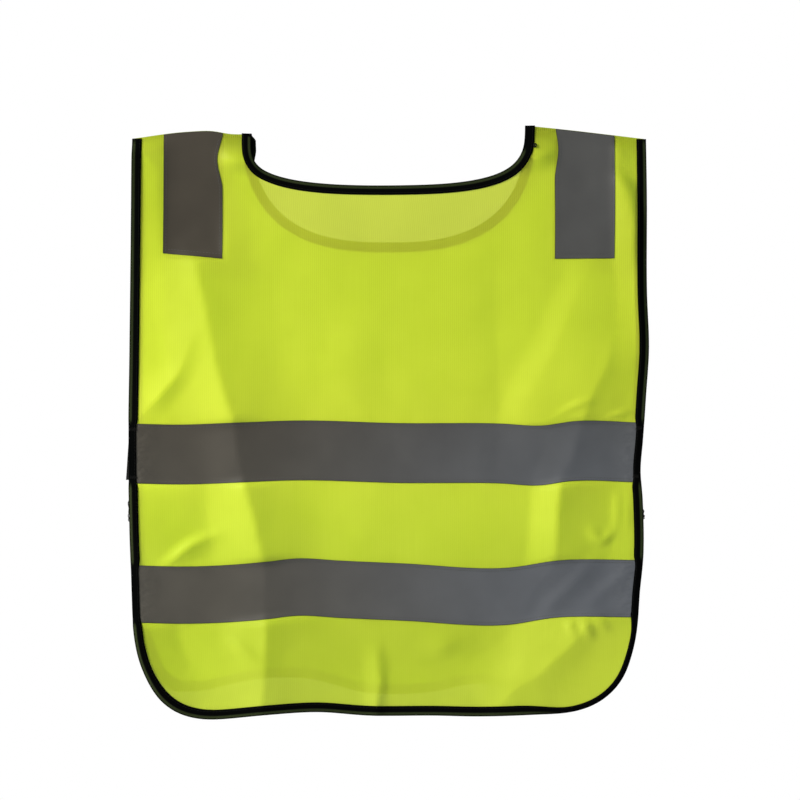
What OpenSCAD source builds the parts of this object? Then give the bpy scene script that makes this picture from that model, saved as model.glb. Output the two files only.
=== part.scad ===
// High visibility vest: a pull-over tabard of two knit panels that hang from one shoulder line.
// +Z is up, +X is to the right as the back is seen, and the back panel is on the -Y side.
// The origin is the middle of the shoulder line, where the vest hangs.

/* [Panels] */
// Width across each panel
panel_w = 436; // [400:2:470]
// Length of the back panel, from the neck points down to the hem
back_len = 498; // [470:2:540]
// How much shorter the front panel is
front_rise = 25; // [15:1:35]
// Thickness of the knit
knit_t = 0.6; // [0.5:0.1:0.9]
// How far the shoulder line falls from the neck to its outer end
shoulder_drop = 11; // [4:1:16]
// How far the sides pull in at the outer ends of the shoulders
shoulder_tuck = 2; // [0:0.5:5]
// Width of each rounded bottom corner
corner_w = 82; // [60:1:90]
// Height of each rounded bottom corner
corner_h = 98; // [70:1:105]
// Squareness of the bottom corners, where 2 is an ellipse
corner_square = 2.5; // [2:0.1:3]
// Lean of each panel away from upright, in degrees
lean = 2.6; // [2:0.1:4]

/* [Neck] */
// Width of the neck opening at the shoulder line
neck_w = 232; // [210:2:240]
// Depth of the back neckline
back_neck_depth = 48; // [36:1:60]
// Depth of the front neckline
front_neck_depth = 98; // [80:1:110]
// Squareness of the back neckline, where 2 is an ellipse
back_neck_square = 3; // [2:0.1:3.5]
// Squareness of the front neckline
front_neck_square = 2.6; // [2:0.1:3.5]

/* [Reflective tape] */
// Width of the tape
tape_w = 50; // [48:1:52]
// Thickness of the tape
tape_t = 0.4; // [0.3:0.1:0.6]
// Depth of the upper tape's centre line below the neck points
upper_tape_depth = 274.5; // [262:0.5:290]
// Depth of the lower tape's centre line below the neck points
lower_tape_depth = 391; // [375:1:400]
// Distance of each shoulder tape's centre line from the middle
shoulder_tape_x = 165; // [158:1:172]
// Depth of the shoulder tapes' lower ends below the neck points
shoulder_tape_depth = 110; // [95:1:125]

/* [Binding] */
// Width of the binding that shows on each face
binding_w = 7.5; // [6:0.5:9]
// Thickness of one layer of binding
binding_t = 0.5; // [0.4:0.1:0.7]

/* [Side elastics] */
// Width of the side elastics
elastic_w = 44; // [36:1:48]
// Thickness of the side elastics
elastic_t = 1.2; // [0.8:0.1:1.6]
// Length of each elastic's sewn end
elastic_tab = 18; // [14:1:22]
// How far each elastic folds in between the panels
elastic_fold = 40; // [34:1:52]

/* [Thread] */
// Width of a thread row
thread_w = 0.6; // [0.5:0.1:0.8]
// Distance of a tape's thread rows from its edges
thread_inset = 2.4; // [2:0.1:4]

/* [Hidden] */

// The side of the shoulder line that a panel hangs on.
BACK = -1;
FRONT = 1;

// Lengths of the two panels, and the room between each panel's inner face and the middle plane.
front_len = back_len - front_rise;
panel_gap = 0.8;

half_w = panel_w / 2;
neck_half = neck_w / 2;
tip_x = half_w - shoulder_tuck;
shoulder_slope = shoulder_drop / (tip_x - neck_half);

// Depths through the cloth, outward from the middle plane.
outer_face = panel_gap + knit_t;
tape_face = outer_face + tape_t;
binding_face = tape_face + binding_t;
thread_t = 0.25;

// Seam allowance inside each shoulder.
seam_h = 9;
seam_t = 0.6;

elastic_top = -(upper_tape_depth - elastic_w / 2);

yellow = [0.78, 0.90, 0.16];
grey = [0.36, 0.35, 0.33];
black = [0.03, 0.03, 0.03];
charcoal = [0.12, 0.12, 0.12];

function side_len(side) = side == BACK ? back_len : front_len;
function neck_depth(side) = side == BACK ? back_neck_depth : front_neck_depth;
function neck_square(side) = side == BACK ? back_neck_square : front_neck_square;

// Height of the shoulder line at a distance x from the middle.
function shoulder_z(x) = -shoulder_slope * max(0, abs(x) - neck_half);

// Points of a squared ellipse with half axes a and b, from angle a0 to angle a1.
function squared_arc(a, b, square, a0, a1, steps) = [
    for (i = [0 : steps])
        let (t = a0 + (a1 - a0) * i / steps, c = cos(t), s = sin(t))
        [a * sign(c) * pow(abs(c), 2 / square), b * sign(s) * pow(abs(s), 2 / square)]
];

function mirrored(points) = [for (i = [len(points) - 1 : -1 : 0]) [-points[i][0], points[i][1]]];

// The right half of a panel's outline, from the neck point round to the hem, grown outward.
function right_side(side, grow) =
    let (hem = -side_len(side))
    concat(
        [[neck_half, 0], [tip_x + grow, shoulder_z(tip_x)]],
        [for (p = squared_arc(corner_w + grow, corner_h + grow, corner_square, 0, -90, 12))
            [half_w - corner_w + p[0], hem + corner_h + p[1]]]
    );

module panel_outline(side, grow = 0) {
    polygon(concat(right_side(side, grow), mirrored(right_side(side, grow))));
}

// The neck opening, grown outward into the cloth and closed above the shoulder line.
module neck_opening(side, grow = 0) {
    above = 5;
    a = neck_half + grow;
    polygon(concat(
        squared_arc(a, neck_depth(side) + grow, neck_square(side), 0, -180, 28),
        [[-a, above], [a, above]]
    ));
}

// Everything below the shoulder line.
module below_shoulders() {
    reach = half_w + 20;
    polygon([
        [-reach, -back_len - 20], [reach, -back_len - 20], [reach, shoulder_z(reach)],
        [neck_half, 0], [-neck_half, 0], [-reach, shoulder_z(reach)]
    ]);
}

// Hangs a drawing in the XZ plane on one side of the vest, leaning out from the shoulder line.
module hung(side) {
    mirror([0, side == FRONT ? 1 : 0, 0])
        rotate([-lean, 0, 0])
            children();
}

// A flat layer of cloth whose faces are at two depths outward from the middle plane.
module layer(inner, outer) {
    translate([0, -inner, 0])
        rotate([90, 0, 0])
            linear_extrude(outer - inner)
                children();
}

module panel(side) {
    color(yellow)
        hung(side)
            layer(panel_gap, outer_face)
                difference() {
                    panel_outline(side);
                    neck_opening(side);
                }
}

// One tape across a panel, cut to the panel's outline.
module cross_tape_shape(side, depth) {
    intersection() {
        translate([-half_w, -depth - tape_w / 2])
            square([panel_w, tape_w]);
        panel_outline(side);
    }
}

// One tape that hangs from a shoulder, where hand is -1 on the left and 1 on the right.
module shoulder_tape_shape(hand) {
    x0 = shoulder_tape_x - tape_w / 2;
    x1 = shoulder_tape_x + tape_w / 2;
    mirror([hand < 0 ? 1 : 0, 0])
        polygon([
            [x0, -shoulder_tape_depth], [x1, -shoulder_tape_depth],
            [x1, shoulder_z(x1)], [x0, shoulder_z(x0)]
        ]);
}

module cross_tape(side, depth) {
    color(grey)
        hung(side)
            layer(outer_face, tape_face)
                cross_tape_shape(side, depth);
}

module shoulder_tape(side, hand) {
    color(grey)
        hung(side)
            layer(outer_face, tape_face)
                shoulder_tape_shape(hand);
}

// The cloth and the tape ends that a panel's binding wraps.
module wrapped_cloth(side) {
    layer(panel_gap, outer_face)
        panel_outline(side);
    layer(outer_face, tape_face) {
        cross_tape_shape(side, upper_tape_depth);
        cross_tape_shape(side, lower_tape_depth);
    }
}

// A band along a panel's sides and hem, between two distances in from the raw edge.
module edge_band(side, from, to) {
    above = 5;
    open_x = tip_x - to;
    intersection() {
        difference() {
            panel_outline(side, -from);
            panel_outline(side, -to);
            translate([-open_x, -shoulder_drop - above])
                square([2 * open_x, shoulder_drop + 2 * above]);
        }
        below_shoulders();
    }
}

// A band along a panel's neckline, between two distances in from the raw edge.
module neck_band(side, from, to) {
    intersection() {
        difference() {
            neck_opening(side, to);
            neck_opening(side, from);
        }
        below_shoulders();
    }
}

// The channel of binding that wraps a panel's sides and hem, over the ends of the tapes.
module edge_binding(side) {
    color(black)
        hung(side)
            difference() {
                layer(panel_gap - binding_t, binding_face)
                    edge_band(side, -binding_t, binding_w);
                wrapped_cloth(side);
            }
}

// The channel of binding that wraps a panel's neckline.
module neck_binding(side) {
    color(black)
        hung(side)
            difference() {
                layer(panel_gap - binding_t, binding_face)
                    neck_band(side, -binding_t, binding_w);
                layer(panel_gap, outer_face)
                    neck_band(side, 0, binding_w + 1);
            }
}

// One thread row near the inner edge of each binding.
module binding_thread(side) {
    row = binding_w - 1.6;
    color(charcoal)
        hung(side)
            layer(binding_face, binding_face + thread_t) {
                edge_band(side, row - thread_w, row);
                neck_band(side, row - thread_w, row);
            }
}

// Two thread rows along each tape, and one across each shoulder tape's lower end.
module tape_thread(side) {
    row = tape_w / 2 - thread_inset;
    color(charcoal)
        hung(side)
            layer(tape_face, tape_face + thread_t) {
                intersection() {
                    for (depth = [upper_tape_depth, lower_tape_depth], way = [-1, 1])
                        translate([-half_w, -depth + way * row - thread_w / 2])
                            square([panel_w, thread_w]);
                    panel_outline(side, -binding_w - 1);
                }
                for (hand = [-1, 1]) {
                    for (way = [-1, 1])
                        translate([
                            hand * shoulder_tape_x + way * row - thread_w / 2,
                            -shoulder_tape_depth + thread_inset
                        ])
                            square([thread_w, shoulder_tape_depth - thread_inset - shoulder_drop]);
                    translate([hand * shoulder_tape_x - row, -shoulder_tape_depth + thread_inset])
                        square([2 * row, thread_w]);
                }
            }
}

// A side elastic: a sewn end on the inside of each panel, and the fold that joins them.
module side_elastic(hand) {
    inner = panel_gap - binding_t;
    end_x = half_w - 1;
    tab_x = end_x - elastic_tab;
    // Room from the middle plane to the inside of the bindings at the elastic's upper end.
    room = inner - elastic_top * sin(lean) - elastic_t;
    color(charcoal)
        mirror([hand < 0 ? 1 : 0, 0, 0]) {
            for (side = [BACK, FRONT])
                hung(side)
                    layer(inner - elastic_t, inner)
                        translate([tab_x, elastic_top - elastic_w])
                            square([elastic_tab, elastic_w]);
            translate([0, 0, elastic_top - elastic_w])
                linear_extrude(elastic_w)
                    difference() {
                        union() {
                            translate([tab_x - elastic_fold + room + 1, -room - elastic_t])
                                square([elastic_fold - room, 2 * (room + elastic_t)]);
                            translate([tab_x - elastic_fold + room + 1, 0])
                                circle(r = room + elastic_t, $fn = 48);
                        }
                        translate([tab_x - elastic_fold + room + 1, -room])
                            square([elastic_fold, 2 * room]);
                        translate([tab_x - elastic_fold + room + 1, 0])
                            circle(r = room, $fn = 48);
                    }
        }
}

// Tack stitches that hold an elastic's ends: a boxed row on the outside of the binding.
module elastic_tacks(side) {
    color(black)
        hung(side)
            layer(binding_face + thread_t, binding_face + 2 * thread_t)
                for (hand = [-1, 1], z = [elastic_top - 2, elastic_top - elastic_w + 2])
                    translate([hand * (half_w - binding_w / 2) - 2.5, z - 0.6])
                        square([5, 1.2]);
}

// The overlocked allowance inside a shoulder, which lies against the back panel.
module shoulder_seam(hand) {
    x0 = neck_half + binding_w + 1;
    x1 = tip_x - binding_w - 1;
    color(yellow)
        hung(BACK)
            layer(panel_gap - seam_t, panel_gap)
                mirror([hand < 0 ? 1 : 0, 0])
                    polygon([
                        [x0, shoulder_z(x0)], [x1, shoulder_z(x1)],
                        [x1, shoulder_z(x1) - seam_h], [x0, shoulder_z(x0) - seam_h]
                    ]);
}

// The overlock's edge rows on both allowances.
module shoulder_seam_thread() {
    x0 = neck_half + binding_w + 2;
    x1 = tip_x - binding_w - 2;
    color(charcoal)
        hung(BACK)
            layer(panel_gap - seam_t - thread_t, panel_gap - seam_t)
                for (hand = [-1, 1], down = [2, seam_h - 1.5])
                    mirror([hand < 0 ? 1 : 0, 0])
                        polygon([
                            [x0, shoulder_z(x0) - down], [x1, shoulder_z(x1) - down],
                            [x1, shoulder_z(x1) - down - thread_w],
                            [x0, shoulder_z(x0) - down - thread_w]
                        ]);
}

panel(BACK);  // back_panel
panel(FRONT);  // front_panel
neck_binding(BACK);  // back_neck_binding
neck_binding(FRONT);  // front_neck_binding
edge_binding(BACK);  // back_edge_binding
edge_binding(FRONT);  // front_edge_binding
cross_tape(BACK, upper_tape_depth);  // back_upper_tape
cross_tape(FRONT, upper_tape_depth);  // front_upper_tape
cross_tape(BACK, lower_tape_depth);  // back_lower_tape
cross_tape(FRONT, lower_tape_depth);  // front_lower_tape
shoulder_tape(BACK, -1);  // back_left_shoulder_tape
shoulder_tape(BACK, 1);  // back_right_shoulder_tape
shoulder_tape(FRONT, -1);  // front_left_shoulder_tape
shoulder_tape(FRONT, 1);  // front_right_shoulder_tape
side_elastic(-1);  // left_side_elastic
side_elastic(1);  // right_side_elastic
elastic_tacks(BACK);  // back_elastic_tacks
elastic_tacks(FRONT);  // front_elastic_tacks
tape_thread(BACK);  // back_tape_thread
tape_thread(FRONT);  // front_tape_thread
binding_thread(BACK);  // back_binding_thread
binding_thread(FRONT);  // front_binding_thread
shoulder_seam(-1);  // left_shoulder_seam
shoulder_seam(1);  // right_shoulder_seam
shoulder_seam_thread();
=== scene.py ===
"""High visibility vest: the looks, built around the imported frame.

Each piece is drawn flat first, as cut cloth, and is then hung on its side of the vest.
Flat cloth is measured in millimetres: x to the right as the back is seen, s down from the
neck points, and d outward from the middle of the knit. Finished pieces are in metres.
"""

import math
from collections import Counter

import bmesh
import bpy
import numpy as np
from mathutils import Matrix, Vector
from mathutils.geometry import delaunay_2d_cdt


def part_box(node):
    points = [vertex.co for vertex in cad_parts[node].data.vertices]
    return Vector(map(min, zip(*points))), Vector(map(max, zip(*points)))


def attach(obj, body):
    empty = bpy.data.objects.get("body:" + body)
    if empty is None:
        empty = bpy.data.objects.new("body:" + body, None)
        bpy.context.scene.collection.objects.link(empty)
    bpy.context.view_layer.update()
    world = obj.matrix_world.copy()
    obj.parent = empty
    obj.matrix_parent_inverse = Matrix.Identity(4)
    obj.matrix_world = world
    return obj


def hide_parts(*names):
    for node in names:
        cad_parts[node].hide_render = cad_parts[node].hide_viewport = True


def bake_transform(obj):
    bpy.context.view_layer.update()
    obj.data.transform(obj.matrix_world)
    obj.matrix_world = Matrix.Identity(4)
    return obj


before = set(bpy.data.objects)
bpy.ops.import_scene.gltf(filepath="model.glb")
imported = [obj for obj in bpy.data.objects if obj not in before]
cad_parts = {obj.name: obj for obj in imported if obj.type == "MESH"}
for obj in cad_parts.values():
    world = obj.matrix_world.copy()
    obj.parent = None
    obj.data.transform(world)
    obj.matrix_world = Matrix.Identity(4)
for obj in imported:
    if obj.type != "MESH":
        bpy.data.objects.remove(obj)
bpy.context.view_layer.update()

BACK = "back"
FRONT = "front"
MM = 0.001

# ---------------------------------------------------------------- sizes, from the frame or as in the CAD

LEAN = math.radians(2.6)


def box_mm(node):
    """Lowest and highest corner of a CAD node, in millimetres."""
    low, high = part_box(node)
    return np.array(low) / MM, np.array(high) / MM


def depth_of(height_mm):
    """Depth along the leaning cloth of a point at that height."""
    return -height_mm / math.cos(LEAN)


BINDING_W = 7.5
HALF_W = box_mm("back_panel")[1][0]
LENGTH = {side: depth_of(box_mm(side + "_panel")[0][2]) for side in (BACK, FRONT)}
NECK_HALF = 116.0
NECK_DEPTH = {
    side: depth_of(box_mm(side + "_neck_binding")[0][2]) - BINDING_W for side in (BACK, FRONT)
}
NECK_SQUARE = {BACK: 3.5, FRONT: 2.6}
TIP_X = HALF_W - 2.0
SHOULDER_DROP = 11.0
CORNER_W = 82.0
CORNER_H = 98.0
CORNER_SQUARE = 2.5
TAPE_W = 50.0
UPPER_TAPE = depth_of(box_mm("back_upper_tape")[0][2]) - TAPE_W / 2
LOWER_TAPE = depth_of(box_mm("back_lower_tape")[0][2]) - TAPE_W / 2
SHOULDER_TAPE_X = 165.0
SHOULDER_TAPE_END = depth_of(box_mm("back_left_shoulder_tape")[0][2])
ELASTIC_TOP = -box_mm("left_side_elastic")[1][2]
ELASTIC_END = -box_mm("left_side_elastic")[0][2]

# Depths through the cloth, outward from the middle of the knit.
KNIT = 0.25
TAPE_IN = 0.27
TAPE_OUT = 0.62
BIND_IN = 0.30
BIND_THIN = 0.66
BIND_THICK = 0.92
THREAD_R = 0.17
# Width of a tape's cut edge, darkened with painted shade.
TAPE_RIM = 0.8
# Half the elastic's thickness, and how far it folds in between the panels.
ELASTIC_HALF_T = 0.55
ELASTIC_FOLD = 58.0
# Size of a panel's mesh cells.
CELL = 3.2
# How much more or less light each face of the knit lets straight through.
OUTER_OPENNESS = 0.80
INNER_OPENNESS = 1.42
# How far a row of stitches lies from a tape's edge, and its spacing and stitch length.
TAPE_INSET = 2.4
TAPE_STITCH = (2.7, 2.1)

# ---------------------------------------------------------------- small maths


def smooth(t):
    """Eases from 0 to 1."""
    t = np.clip(t, 0.0, 1.0)
    return t * t * (3.0 - 2.0 * t)


def bell(t):
    """1 at 0, easing to 0 at -1 and 1."""
    return smooth(1.0 - np.abs(t))


def through(knots, at):
    """A smooth value through knots, a list of (position, value)."""
    places = np.array([k[0] for k in knots], float)
    values = np.array([k[1] for k in knots], float)
    at = np.clip(at, places[0], places[-1])
    i = np.clip(np.searchsorted(places, at) - 1, 0, len(places) - 2)
    slopes = np.gradient(values, places)
    gap = places[i + 1] - places[i]
    t = (at - places[i]) / gap
    level = values[i] * (1 + 2 * t) * (1 - t) ** 2 + values[i + 1] * t * t * (3 - 2 * t)
    return level + gap * (slopes[i] * t * (1 - t) ** 2 + slopes[i + 1] * t * t * (t - 1))


def resampled(points, spacing):
    """The polyline with points an even distance apart, no more than spacing."""
    points = np.array(points, float)
    steps = np.hypot(*np.diff(points, axis=0).T)
    along = np.concatenate([[0.0], np.cumsum(steps)])
    count = max(2, int(math.ceil(along[-1] / spacing)) + 1)
    at = np.linspace(0.0, along[-1], count)
    return np.column_stack([np.interp(at, along, points[:, k]) for k in (0, 1)])


def tangents(points):
    """Unit tangents of a polyline."""
    t = np.gradient(points, axis=0)
    return t / np.hypot(t[:, 0], t[:, 1])[:, None]


def inward_of_edge(path):
    """Unit normals into the cloth along a raw edge, with the cloth on its right."""
    t = tangents(path)
    return np.column_stack([-t[:, 1], t[:, 0]])


def squared_arc(a, b, square, from_deg, to_deg, steps):
    """Points of a squared ellipse with half axes a and b."""
    t = np.radians(np.linspace(from_deg, to_deg, steps + 1))
    ways = np.column_stack([np.cos(t), np.sin(t)])
    return [a, b] * np.sign(ways) * np.abs(ways) ** (2 / square)


def value_noise(x, s, size, seed):
    """Smooth noise from -1 to 1 whose lumps are about size across."""
    count = 64
    cells = np.random.default_rng(seed).uniform(-1.0, 1.0, (count, count))
    across, down = x / size + 31.5, s / size + 3.5
    i, j = np.floor(across).astype(int), np.floor(down).astype(int)
    across, down = smooth(across - i), smooth(down - j)
    i, j = i % (count - 1), j % (count - 1)
    top = cells[i, j] * (1 - across) + cells[i + 1, j] * across
    low = cells[i, j + 1] * (1 - across) + cells[i + 1, j + 1] * across
    return top * (1 - down) + low * down


# ---------------------------------------------------------------- the cut


def shoulder_s(x):
    """Depth of the shoulder line at x."""
    slope = SHOULDER_DROP / (TIP_X - NECK_HALF)
    return slope * np.maximum(0.0, np.abs(x) - NECK_HALF)


def edge_path(side, spacing=3.0):
    """The raw edge from the right shoulder tip down, along the hem, and up to the left tip."""
    arc = squared_arc(CORNER_W, CORNER_H, CORNER_SQUARE, 0, 90, 60)
    arc += [HALF_W - CORNER_W, LENGTH[side] - CORNER_H]
    right = np.vstack([[[TIP_X, SHOULDER_DROP]], arc])
    left = right[::-1] * [-1, 1]
    return resampled(np.vstack([right, left]), spacing)


def neck_path(side, spacing=2.5):
    """The raw edge of the neckline, from the left neck point to the right one."""
    arc = squared_arc(NECK_HALF, NECK_DEPTH[side], NECK_SQUARE[side], 180, 0, 120)
    return resampled(arc, spacing)


def shoulder_path(hand, spacing=3.0):
    """The shoulder line from the neck point to the tip."""
    return resampled([(hand * NECK_HALF, 0.0), (hand * TIP_X, SHOULDER_DROP)], spacing)


def panel_outline(side):
    """The whole raw outline of a panel, clockwise from the left neck point."""
    return np.vstack([
        neck_path(side)[:-1],
        shoulder_path(1)[:-1],
        edge_path(side)[:-1],
        shoulder_path(-1)[::-1][:-1],
    ])


def half_width_at(side, s):
    """Distance of the raw side edge from the middle at depth s."""
    right = edge_path(side, 1.0)
    right = right[: len(right) // 2]
    return np.interp(s, right[:, 1], right[:, 0])


# ---------------------------------------------------------------- how the cloth hangs

# How far each raw side has moved right, at depths down the side.
RIGHT_PULL = [
    (0, 0.0), (60, 0.4), (140, -0.2), (190, 1.0), (226, -1.6), (264, -4.4), (289, -6.6),
    (314, -5.2), (366, -5.2), (398, -8.4), (425, -9.5), (450, -9.6), (472, -7.6), (498, -5.0),
]
LEFT_PULL = [
    (0, 1.8), (60, 1.8), (140, 1.2), (190, 1.0), (264, 0.8), (289, 1.2), (331, 2.4),
    (366, 3.6), (398, 4.8), (425, 5.6), (452, 5.0), (470, 3.4), (498, -2.5),
]
# How far the cloth has dropped, at places across it: at the shoulders, the tapes and the hem.
SHOULDER_DROPS = [
    (-218, -0.6), (-170, -1.4), (-150, 0.2), (-132, 4.8), (-114, 6.0), (-95, 2.5), (0, 0.6),
    (114, -0.6), (150, -0.8), (218, -0.2),
]
UPPER_DROPS = [
    (-218, 0.4), (-176, 1.3), (-130, 0.0), (-78, -2.1), (10, 0.1), (94, 0.4), (132, 2.1),
    (158, -1.3), (218, -0.4),
]
LOWER_DROPS = [
    (-218, 2.2), (-178, 3.3), (-102, -0.6), (-76, -3.4), (-40, -1.6), (10, 0.6), (104, 4.1),
    (147, -1.7), (218, -2.1),
]
HEM_DROPS = {
    BACK: [
        (-218, -3.0), (-139, -2.1), (-99, -6.0), (-59, -8.2), (-18, -5.4), (42, -5.2), (70, -4.6),
        (143, -6.5), (218, -7.0),
    ],
    FRONT: [
        (-218, 18.0), (-196, 20.0), (-173, 9.0), (-150, 1.0), (-66, -7.0), (-16, 5.0), (46, 2.5),
        (69, -2.5), (110, 1.0), (150, 5.0), (190, 14.0), (218, 16.0),
    ],
}
# How far the middle of a panel bulges outward.
CROWN = 1.8
# How much of a fold a tape flattens.
TAPE_STIFFNESS = 0.62
# Depth of the knit's middle from the leaning plane, at the shoulder seam and below it.
SEAM_GAP = 0.62
GAP = 1.1


def sideways(side, x, s):
    """How far the cloth at x, s has moved to the right."""
    pull = np.where(x > 0, through(RIGHT_PULL, s), through(LEFT_PULL, s))
    neck = -4.2 * bell((s - 38) / 60) * bell(x / 170)
    if side == FRONT:
        tucked = 1.4 * smooth((s - 20) / 60)
        pull = pull - tucked * np.sign(x)
        neck = 3.4 * bell((x + 114) / 34) * smooth((s - 1) / 5) * (1 - smooth((s - 14) / 18))
    return pull * smooth((np.abs(x) - 60) / 110) + neck


def downward(side, x, s):
    """How far the cloth at x, s has dropped."""
    hem = through(HEM_DROPS[side], x)
    shoulder = through(SHOULDER_DROPS, x)
    if side == FRONT:
        return shoulder * (1 - smooth(s / 50)) + hem * smooth((s - 300) / 173)
    upper, lower = through(UPPER_DROPS, x), through(LOWER_DROPS, x)
    tape_top, tape_end = LOWER_TAPE - TAPE_W / 2, LOWER_TAPE + TAPE_W / 2
    drop = shoulder * (1 - smooth(s / 70)) + 2.4 * bell((s - 50) / 60) * bell(x / 150)
    drop = drop + upper * smooth((s - 120) / 130) * (1 - smooth((s - 300) / 66))
    drop = drop + lower * smooth((s - 300) / 66) * (1 - smooth((s - tape_end) / 50))
    drop = drop + (hem + 2.3) * smooth((s - tape_end) / 80)
    return drop - 2.3 * smooth((s - tape_top) / TAPE_W)


class Fold:
    """A ridge along a crest line of (x, s, height) points, with a width on each side of it.

    crease runs from 0, a rounded crest, to 1, a sharp one. bow is 1 for flat flanks and more
    for flanks that hollow toward their feet.
    """

    def __init__(self, crest, left, right, crease=0.5, bow=1.7):
        points = np.array(crest, float)
        along = np.arange(len(points))
        fine = np.linspace(0, len(points) - 1, 12 * (len(points) - 1) + 1)
        self.line = np.column_stack([through(list(zip(along, part)), fine) for part in points.T])
        self.left, self.right, self.crease, self.bow = left, right, crease, bow

    def height(self, x, s):
        """Height of the ridge at x, s. Left is the side of smaller x for a line that runs down."""
        reach = max(self.left, self.right)
        low, high = self.line.min(0)[:2] - reach, self.line.max(0)[:2] + reach
        near = (x > low[0]) & (x < high[0]) & (s > low[1]) & (s < high[1])
        lift = np.zeros(np.shape(x))
        if near.any():
            lift[near] = self.height_near(np.column_stack([x[near], s[near]]))
        return lift

    def height_near(self, at):
        """Height of the ridge at points close to it."""
        best = np.full(len(at), 1e9)
        found = np.zeros(len(at))
        for a, b in zip(self.line[:-1], self.line[1:]):
            run = (b - a)[:2]
            t = np.clip(((at - a[:2]) @ run) / max(run @ run, 1e-9), 0, 1)
            away = at - a[:2] - t[:, None] * run
            far = np.hypot(away[:, 0], away[:, 1])
            across = (run[0] * away[:, 1] - run[1] * away[:, 0]) / (np.hypot(*run) * far + 1e-9)
            width = self.right + (self.left - self.right) * smooth(0.5 + 0.5 * across)
            reach = far / width
            soft = smooth(1 - reach)
            sharp = np.clip(1 - reach, 0, 1) ** self.bow
            value = (a[2] + t * (b[2] - a[2])) * (soft + self.crease * (sharp - soft))
            nearer = far < best
            found = np.where(nearer, value, found)
            best = np.minimum(best, far)
        return found


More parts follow.
